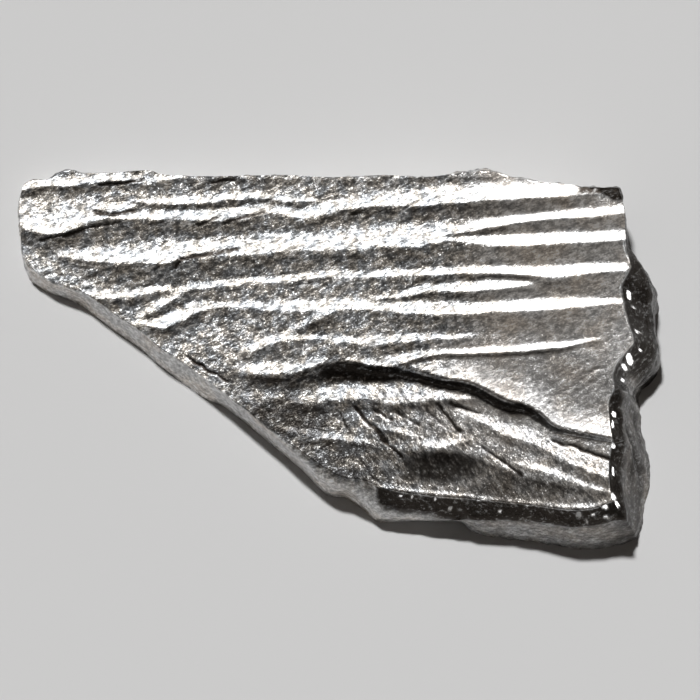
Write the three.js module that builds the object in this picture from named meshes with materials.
// A broken slab of tantalum metal that lies on its flat underside. Its upper face has grown in long
// ridges that run from left to right, a torn step crosses it, and its lower left side is a clean cut.
import * as THREE from "three";

// Driving dimensions, in millimetres and degrees.
const LENGTH = 20;
const THICKNESS_RIGHT = 2.6;
const THICKNESS_LEFT = 0.86;
const VIEW_ELEVATION = 72;

// Places are given in plan units, x to the right and y towards the front, as they are seen from
// VIEW_ELEVATION over the front. So a unit of y is longer on the slab than a unit of x, and a place
// on a lower part of the face lies further back than it seems.
const PLAN_LENGTH = 644.6;
const UNIT = LENGTH / PLAN_LENGTH;
const VIEW_ANGLE = THREE.MathUtils.degToRad(VIEW_ELEVATION);

// Relief of the ridges: the height of a narrow crest as a share of the width of the slope behind
// it, the width of a slope that lifts its crest half as much, how far a crest is rounded over, in
// plan units, and how the slopes ease out towards their feet.
const RIDGE_STEEPNESS = 0.29;
const BROAD_SLOPE = 40;
const CREST_ROUND = 1.3;
const SLOPE_EASE = 1.5;

// Faces of the solid along and across the upper face, and from the rim down to the underside.
const COLUMNS = 74;
const ROWS = 46;
const BEVEL_BANDS = 1;
const WALL_BANDS = 2;

// How fast a side's profile gives way to the next one's at a corner.
const CORNER_CLOSENESS = 14;

// How near a crest or edge draws a point of the upper face onto itself, as a share of their spacing.
const SNAP_REACH = 0.38;

// The rim of the upper face. Each edge is a list of plan points between two of its corners.
const BACK_RIM = [
  [22, 182], [31, 178], [47, 177], [60, 170], [72, 168], [82, 171], [115, 170], [148, 168],
  [162, 172], [200, 174], [280, 173], [335, 175], [385, 173], [425, 175], [452, 172], [475, 169.5],
  [494, 170], [512, 175], [545, 180.5], [572, 183], [581, 185], [619, 186],
];
const FRONT_RIM = [
  [30, 265], [39, 273], [60, 283], [82, 290], [100, 302], [120, 316], [140, 329], [160, 346],
  [185, 362], [200, 373], [220, 388], [240, 403], [255, 415], [270, 427], [290, 442], [310, 456],
  [328, 468], [342, 475], [362, 478], [378, 484], [400, 490], [440, 495], [470, 497], [500, 500],
  [530, 503], [570, 508], [594, 506], [611, 499],
];
const LEFT_RIM = [
  [265, 30], [253, 23], [240, 20], [215, 18.5], [204, 18], [194, 19], [182, 22],
];
const RIGHT_RIM = [
  [499, 611], [480, 608], [462, 608], [440, 611], [420, 609], [400, 608], [388, 613], [372, 612],
  [360, 617], [348, 627], [340, 633], [322, 628], [303, 623], [284, 621], [266, 630], [250, 627],
  [235, 625.5], [213, 625], [196, 622], [186, 619],
];

// The sides below the rim. Each row is the place along the side, how far the bevel under the rim
// stands out and how far it drops, and how far the foot of the wall stands out.
const FRONT_SIDE = [
  [30, 1, 1, 4], [60, 1, 1, 2], [100, 1, 1, 5.5], [150, 1, 1, 6], [200, 1, 2, 8], [222, 1, 2, 1],
  [240, 1.5, 2, 0], [275, 2, 3, 0], [300, 6, 6, 2], [325, 10, 9, 10], [345, 7.5, 8, 5],
  [362, 13, 16, 13], [378, 18, 22, 19], [400, 17, 26, 13], [440, 15, 24, 7], [460, 14, 24, 6],
  [470, 15, 20, 14], [482, 14, 20, 17], [500, 13, 19, 17], [520, 12, 18, 16.5], [560, 11, 18, 16],
  [595, 10, 20, 15.5], [611, 13, 18, 14],
];
const BACK_SIDE = [
  [23, 2, 3, 0], [80, 2, 4, -3], [150, 1, 6, -5], [230, 2, 8, -2], [330, 1, 5, -6], [440, 2, 9, -3],
  [500, 3, 6, -7], [580, 1, 3, -2], [619, 1, 4, 0],
];
const LEFT_SIDE = [
  [265, 2, 3, 2], [240, 1, 4, 0], [210, 2, 4, -2], [185, 1, 3, 0],
];
const RIGHT_SIDE = [
  [499, 14, 13, 27], [490, 14, 12, 33], [480, 13, 12, 36], [462, 12, 12, 41], [440, 12, 12, 40],
  [420, 13, 12, 38], [400, 13, 13, 33], [388, 13, 14, 28], [380, 16, 28, 28], [372, 21, 44, 28],
  [364, 26, 48, 29], [356, 29, 48, 31], [348, 28, 44, 31], [340, 24, 36, 28], [322, 26, 34, 30],
  [300, 30, 34, 34], [282, 31, 32, 37], [272, 22, 28, 31], [264, 16, 22, 28], [258, 13, 16, 23],
  [250, 8, 12, 15], [238, 2, 6, 3], [186, 1, 4, 1],
];

// The relief of the upper face. Each row of a ridge is a point of its crest, then the width of the
// long slope behind it and of the slope in front of it, all in plan units.
const RIDGES = {
  backRim: [
    [10, 189, 8, 8], [80, 181, 9, 8], [115, 179, 7, 9], [150, 180, 5, 10], [170, 178, 2, 12],
    [185, 177, 1, 12],
  ],
  firstStrand: [
    [135, 202, 2, 3], [160, 202, 6, 4], [235, 199, 6, 5], [300, 198, 4, 4], [318, 198, 1, 3],
  ],
  firstBand: [
    [10, 220, 27, 14], [45, 233, 34, 20], [62, 233, 33, 20], [80, 226, 28, 23], [100, 219, 20, 24],
    [120, 217, 15, 26], [140, 218, 14, 24], [160, 218, 14, 18], [240, 218, 13, 15],
    [280, 212, 10, 18], [305, 216, 11, 15], [335, 211, 12, 14], [378, 206, 16, 15],
    [430, 205, 21, 14], [480, 201, 20, 15], [520, 198, 18, 14], [560, 196, 14, 13],
    [578, 194, 9, 12], [600, 192, 2, 12],
  ],
  secondTwin: [
    [440, 233, 1, 3], [460, 232, 8, 3], [480, 230, 11, 4], [520, 222, 10, 9], [560, 218, 10, 12],
    [600, 215, 9, 14], [626, 212, 8, 15],
  ],
  secondBand: [
    [55, 256, 8, 8], [75, 259, 12, 12], [100, 261, 16, 22], [120, 263, 19, 22], [165, 262, 21, 22],
    [200, 255, 18, 26], [240, 253, 18, 25], [300, 251, 20, 23], [340, 249, 20, 23],
    [380, 247, 22, 21], [420, 244, 23, 23], [450, 241, 20, 25], [490, 246, 14, 19],
    [560, 243, 13, 19], [600, 241, 12, 21], [626, 239, 11, 22],
  ],
  thirdLeft: [
    [80, 290, 2, 6], [100, 299, 8, 8], [125, 298, 8, 8], [150, 293, 7, 6], [172, 288, 2, 4],
  ],
  thirdBand: [
    [135, 317, 3, 6], [155, 309, 8, 6], [170, 301, 9, 6], [185, 291, 7, 10], [200, 287, 6, 14],
    [240, 285, 5, 15], [280, 281, 5, 17], [320, 278, 6, 18], [360, 276, 7, 20], [400, 275, 7, 12],
    [440, 275, 8, 8], [480, 273, 8, 4], [520, 275, 10, 3], [560, 277, 14, 14], [600, 272, 10, 24],
    [628, 270, 8, 26],
  ],
  thirdTwin: [
    [370, 298, 1, 2], [400, 297, 5, 3], [420, 294, 8, 4], [440, 292, 9, 6], [480, 290, 11, 8],
    [500, 288, 9, 10], [520, 286, 8, 12], [540, 283, 6, 14], [556, 281, 3, 10], [575, 280, 1, 6],
  ],
  fourthBand: [
    [215, 306, 2, 8], [250, 308, 6, 20], [270, 310, 8, 25], [300, 311, 13, 25], [340, 308, 12, 28],
    [380, 311, 13, 22], [460, 313, 14, 20], [500, 311, 13, 22], [540, 310, 13, 28],
    [580, 307, 10, 30], [600, 304, 7, 32], [625, 301, 3, 32],
  ],
  fourthFold: [
    [288, 330, 2, 6], [310, 322, 7, 9], [325, 316, 7, 12], [340, 309, 4, 14], [352, 306, 1, 8],
  ],
  fifthBand: [
    [325, 341, 1, 10], [345, 342, 6, 15], [380, 343, 9, 12], [420, 340, 7, 11], [460, 336, 4, 12],
    [482, 332, 1, 10],
  ],
  humpLeft: [
    [235, 372, 2, 8], [250, 374, 10, 10], [280, 372, 10, 14], [300, 370, 10, 18], [316, 364, 7, 20],
    [328, 358, 1, 10],
  ],
  stepLip: [
    [345, 360, 1, 4], [370, 366, 9, 3], [388, 368, 13, 3], [404, 365, 13, 3], [418, 360, 9, 2],
    [447, 354, 6, 2], [480, 353, 7, 2], [520, 351, 8, 2], [550, 348, 7, 2], [572, 345, 5, 2],
    [602, 337, 1, 2],
  ],
  leftLobe: [
    [130, 322, 2, 6], [150, 325, 10, 10], [168, 326, 15, 10], [182, 320, 15, 12],
    [195, 312, 12, 14], [208, 306, 6, 16], [235, 304, 1, 18],
  ],
  leftFold: [
    [240, 353, 3, 8], [262, 346, 9, 14], [280, 340, 10, 18], [312, 337, 4, 20], [330, 338, 1, 14],
  ],
};

// Broad swells of the same form, with GENTLE times the lift of a ridge.
const GENTLE = 0.55;
const SWELLS = {
  saddle: [
    [290, 402, 2, 8], [315, 402, 12, 10], [335, 400, 20, 10], [360, 400, 26, 10], [400, 402, 24, 8],
    [440, 400, 18, 8], [480, 398, 2, 4],
  ],
  lowerBlobs: [
    [360, 424, 1, 6], [380, 429, 7, 10], [400, 433, 7, 12], [430, 446, 8, 16], [448, 445, 8, 16],
    [472, 438, 1, 6],
  ],
  diagonal: [
    [462, 412, 2, 6], [485, 424, 10, 8], [505, 434, 14, 8], [530, 442, 16, 8], [560, 458, 18, 10],
    [590, 472, 20, 10], [615, 480, 20, 8],
  ],
  lowerDiagonal: [
    [512, 462, 1, 8], [530, 468, 8, 12], [550, 474, 9, 12], [575, 483, 8, 10], [615, 494, 3, 4],
  ],
  rimBead: [
    [376, 483, 2, 1], [400, 489, 4, 1], [440, 494, 4, 1], [470, 496, 4, 1], [500, 499, 4, 1],
    [530, 502, 4, 1], [570, 507, 4, 1], [594, 505, 4, 1], [609, 499, 4, 1],
  ],
  lowerLeft: [
    [278, 425, 2, 4], [290, 431, 6, 6], [320, 438, 8, 6], [350, 441, 6, 6], [372, 442, 1, 4],
  ],
  plateEdge: [
    [400, 365, 3, 1], [440, 376, 16, 1], [470, 381, 22, 1], [506, 399, 30, 2], [540, 412, 34, 2],
    [552, 423, 34, 2], [575, 430, 28, 2], [622, 439, 22, 2],
  ],
};

// Steps that the face drops down over, going to the front. Each row is a point of the upper edge,
// the width of the slope in plan units, and the drop in millimetres.
const STEPS = {
  rimFall: [
    [150, 179, 12, 0], [180, 177, 13, 0.035], [260, 177, 13, 0.045], [400, 177, 11, 0.04],
    [450, 175, 9, 0.03], [500, 178, 4, 0],
  ],
  tornStep: [
    [255, 381, 14, 0], [300, 372, 16, 0.1], [325, 364, 20, 0.25], [345, 361, 22, 0.34],
    [368, 364, 20, 0.38], [402, 368, 13, 0.38], [440, 378, 11, 0.36], [470, 383, 12, 0.34],
    [506, 401, 12, 0.34], [525, 404, 11, 0.31], [540, 414, 9, 0.27], [552, 425, 5, 0.23],
    [575, 431, 4, 0.16], [622, 440, 3, 0.08],
  ],
  frontRoll: [
    [360, 445, 30, 0], [400, 449, 42, 0.16], [460, 452, 44, 0.22], [500, 466, 38, 0.2],
    [540, 480, 26, 0.12], [600, 492, 12, 0.04], [622, 494, 12, 0],
  ],
};

// The height of the upper face before its relief, in millimetres, by its place in x.
const BODY_HEIGHT = [
  [20, THICKNESS_LEFT], [60, 1.05], [100, 1.17], [150, 1.3], [200, 1.42], [240, 1.54], [290, 1.75],
  [345, 2.02], [400, 2.28], [460, 2.45], [520, 2.52], [630, THICKNESS_RIGHT],
];

// The value of one column of a table at x, on a smooth line through its rows.
function along(rows, x, column) {
  const last = rows.length - 1;
  const rising = rows[last][0] > rows[0][0];
  const isBefore = (row) => (rising ? x <= row[0] : x >= row[0]);
  if (isBefore(rows[0])) return rows[0][column];
  if (!isBefore(rows[last])) return rows[last][column];
  const next = rows.findIndex(isBefore);
  const slopeAt = (i) => {
    const a = rows[Math.max(i - 1, 0)];
    const b = rows[Math.min(i + 1, last)];
    return (b[column] - a[column]) / (b[0] - a[0]);
  };
  const [from, to] = [rows[next - 1], rows[next]];
  const span = to[0] - from[0];
  const t = (x - from[0]) / span;
  const blend = t * t * (3 - 2 * t);
  const leave = slopeAt(next - 1) * span * t * (1 - t) * (1 - t);
  const arrive = slopeAt(next) * span * t * t * (1 - t);
  return from[column] + (to[column] - from[column]) * blend + leave - arrive;
}

// Whether x lies between the first and the last row of a table.
function covers(rows, x) {
  return x >= rows[0][0] && x <= rows[rows.length - 1][0];
}

// The height of one ridge over the face, in millimetres, at a plan point.
function ridgeHeight(rows, x, y) {
  if (!covers(rows, x)) return 0;
  const [crest, back, front] = [1, 2, 3].map((column) => along(rows, x, column));
  const away = y - crest;
  const width = Math.max(away < 0 ? back : front, 1);
  const rounded = Math.hypot(away, CREST_ROUND) - CREST_ROUND;
  const share = Math.max(1 - rounded / width, 0);
  const broad = Math.max(back, 0);
  const lift = (RIDGE_STEEPNESS * broad) / (1 + broad / BROAD_SLOPE);
  return lift * UNIT * share ** SLOPE_EASE;
}

// How far one step has dropped the face, in millimetres, at a plan point.
function stepDrop(rows, x, y) {
  if (!covers(rows, x)) return 0;
  const [edge, width, drop] = [1, 2, 3].map((column) => along(rows, x, column));
  const t = THREE.MathUtils.clamp((y - edge) / width, 0, 1);
  return Math.max(drop, 0) * t * (2 - t);
}

// The sum of what every table of a kind gives at a plan point.
function total(tables, height, x, y) {
  return Object.values(tables).reduce((sum, rows) => sum + height(rows, x, y), 0);
}

// The height of the upper face without its ridges, in millimetres, at a plan point.
function faceLevel(x, y) {
  return along(BODY_HEIGHT, x, 1) - total(STEPS, stepDrop, x, y);
}

// The height of the upper face over the underside, in millimetres, at a plan point.
function faceHeight(x, y) {
  const swells = GENTLE * total(SWELLS, ridgeHeight, x, y);
  return faceLevel(x, y) + total(RIDGES, ridgeHeight, x, y) + swells;
}

// The plan point on the nearest crest or step edge, if one is within reach in y of the point.
function onNearestEdge([x, y], reach) {
  const edges = [RIDGES, SWELLS, STEPS]
    .flatMap((tables) => Object.values(tables))
    .filter((rows) => covers(rows, x))
    .map((rows) => along(rows, x, 1));
  const nearest = edges.reduce(
    (best, edge) => (Math.abs(edge - y) < Math.abs(best - y) ? edge : best),
    Infinity,
  );
  return [x, Math.abs(nearest - y) < reach ? nearest : y];
}

// The plan point at u from left to right and v from front to back: the patch between the four rims.
function planPoint(u, v) {
  const mix = (a, b, t) => a + (b - a) * t;
  const edgeX = (rows) => mix(rows[0][0], rows[rows.length - 1][0], u);
  const edgeY = (rows) => mix(rows[0][0], rows[rows.length - 1][0], v);
  const front = [edgeX(FRONT_RIM), along(FRONT_RIM, edgeX(FRONT_RIM), 1)];
  const back = [edgeX(BACK_RIM), along(BACK_RIM, edgeX(BACK_RIM), 1)];
  const left = [along(LEFT_RIM, edgeY(LEFT_RIM), 1), edgeY(LEFT_RIM)];
  const right = [along(RIGHT_RIM, edgeY(RIGHT_RIM), 1), edgeY(RIGHT_RIM)];
  const corners = [FRONT_RIM[0], FRONT_RIM.at(-1), BACK_RIM[0], BACK_RIM.at(-1)];
  return [0, 1].map((axis) => {
    const [frontLeft, frontRight, backLeft, backRight] = corners.map((corner) => corner[axis]);
    const corner = mix(mix(frontLeft, frontRight, u), mix(backLeft, backRight, u), v);
    return mix(front[axis], back[axis], v) + mix(left[axis], right[axis], u) - corner;
  });
}

// How near a point of the rim is to each side, from 0 to 1. Both sides of a corner have 1.
function sideShares(u, v) {
  const near = (t) => Math.max(1 - t, 0) ** CORNER_CLOSENESS;
  return { front: near(v), back: near(1 - v), left: near(u), right: near(1 - u) };
}

// The side's profile at a rim point: how far the bevel and the foot stand out, and the bevel's drop.
function sideProfile(u, v) {
  const share = sideShares(u, v);
  const [x, y] = planPoint(u, v);
  const reach = (column) => [
    share.right * along(RIGHT_SIDE, y, column) - share.left * along(LEFT_SIDE, y, column),
    share.front * along(FRONT_SIDE, x, column) - share.back * along(BACK_SIDE, x, column),
  ];
  const shareSum = share.front + share.back + share.left + share.right;
  const drop =
    (share.front * along(FRONT_SIDE, x, 2) +
      share.back * along(BACK_SIDE, x, 2) +
      share.left * along(LEFT_SIDE, y, 2) +
      share.right * along(RIGHT_SIDE, y, 2)) /
    shareSum;
  return { bevel: reach(1), foot: reach(3), drop: drop * UNIT };
}

// A plan point with a height in millimetres, as a point of the slab. It is seen at its place from
// the front if it is at its own level of the upper face.
function slabPoint([x, y, height], level) {
  const seen = y * UNIT - (THICKNESS_RIGHT - level) * Math.cos(VIEW_ANGLE);
  return [x * UNIT, -seen / Math.sin(VIEW_ANGLE), height];
}

// A point of the side at t from the rim, 0, over the edge of the bevel, 1, to the foot, 2.
function sidePoint(u, v, t) {
  const [x, y] = planPoint(u, v);
  const rimHeight = faceHeight(x, y);
  const profile = sideProfile(u, v);
  const bevel = [x + profile.bevel[0], y + profile.bevel[1], rimHeight - profile.drop];
  const foot = [x + profile.foot[0], y + profile.foot[1], 0];
  const [from, to] = t < 1 ? [[x, y, rimHeight], bevel] : [bevel, foot];
  const share = t < 1 ? t : t - 1;
  const place = from.map((value, axis) => value + (to[axis] - value) * share);
  return slabPoint(place, faceLevel(x, y));
}

// The rim's places in u and v, anticlockwise from the front left corner seen from above.
function rimPlaces() {
  const places = [];
  for (let i = 0; i < COLUMNS; i += 1) places.push([i / COLUMNS, 0]);
  for (let j = 0; j < ROWS; j += 1) places.push([1, j / ROWS]);
  for (let i = COLUMNS; i > 0; i -= 1) places.push([i / COLUMNS, 1]);
  for (let j = ROWS; j > 0; j -= 1) places.push([0, j / ROWS]);
  return places;
}

// The plan points of the upper face. Inside the rim they are drawn onto the crests and edges.
function facePlan(i, j) {
  const place = planPoint(i / COLUMNS, j / ROWS);
  if (i === 0 || i === COLUMNS || j === 0 || j === ROWS) return place;
  const spacing = planPoint(i / COLUMNS, (j - 1) / ROWS)[1] - place[1];
  return onNearestEdge(place, spacing * SNAP_REACH);
}

// The two triangles of a quad with corners a, b, c and d, parted along the diagonal whose middle
// is nearest to the height that the face has there.
function partedQuad(plan, [a, b, c, d]) {
  const miss = (p, q) => {
    const [x, y] = [0, 1].map((axis) => (plan[p][axis] + plan[q][axis]) / 2);
    const height = (faceHeight(...plan[p]) + faceHeight(...plan[q])) / 2;
    return Math.abs(faceHeight(x, y) - height);
  };
  return miss(a, c) <= miss(b, d) ? [[a, b, c], [a, c, d]] : [[a, b, d], [b, c, d]];
}

// The upper face as a grid of points and its faces, wound to face up.
function addUpperFace(points, faces) {
  const at = (i, j) => j * (COLUMNS + 1) + i;
  const plan = [];
  for (let j = 0; j <= ROWS; j += 1) {
    for (let i = 0; i <= COLUMNS; i += 1) plan.push(facePlan(i, j));
  }
  plan.forEach(([x, y]) => points.push(slabPoint([x, y, faceHeight(x, y)], faceLevel(x, y))));
  for (let j = 0; j < ROWS; j += 1) {
    for (let i = 0; i < COLUMNS; i += 1) {
      const corners = [at(i, j), at(i + 1, j), at(i + 1, j + 1), at(i, j + 1)];
      faces.push(...partedQuad(plan, corners));
    }
  }
  return rimPlaces().map(([u, v]) => at(Math.round(u * COLUMNS), Math.round(v * ROWS)));
}

// The four sides, ring by ring from the rim down. Returns the ring at the foot.
function addSides(points, faces, rim) {
  const places = rimPlaces();
  const levels = [];
  for (let k = 1; k <= BEVEL_BANDS; k += 1) levels.push(k / BEVEL_BANDS);
  for (let k = 1; k <= WALL_BANDS; k += 1) levels.push(1 + k / WALL_BANDS);
  return levels.reduce((above, level) => {
    const below = places.map(([u, v]) => points.push(sidePoint(u, v, level)) - 1);
    above.forEach((start, i) => {
      const next = (i + 1) % above.length;
      faces.push([start, below[i], below[next]]);
      faces.push([start, below[next], above[next]]);
    });
    return below;
  }, rim);
}

// The flat underside inside the ring at the foot, wound to face down.
function addUnderside(points, faces, ring) {
  const outline = ring.map((index) => new THREE.Vector2(points[index][0], points[index][1]));
  THREE.ShapeUtils.triangulateShape(outline, []).forEach((corners) => {
    const [a, b, c] = corners.map((corner) => ring[corner]);
    faces.push([a, c, b]);
  });
}

// The whole slab as one closed body, centred over the middle of its underside.
function slabGeometry() {
  const points = [];
  const faces = [];
  const rim = addUpperFace(points, faces);
  addUnderside(points, faces, addSides(points, faces, rim));
  const geometry = new THREE.BufferGeometry();
  geometry.setAttribute("position", new THREE.Float32BufferAttribute(points.flat(), 3));
  geometry.setIndex(faces.flat());
  geometry.computeBoundingBox();
  const middle = geometry.boundingBox.getCenter(new THREE.Vector3());
  geometry.translate(-middle.x, -middle.y, 0);
  geometry.computeVertexNormals();
  return geometry;
}

const tantalum = new THREE.MeshStandardMaterial({
  color: 0xb4b2ad,
  roughness: 0.28,
  metalness: 1,
});

const slab = new THREE.Mesh(slabGeometry(), tantalum);
slab.name = "tantalum_slab";

const piece = new THREE.Group();
piece.add(slab);

export default piece;
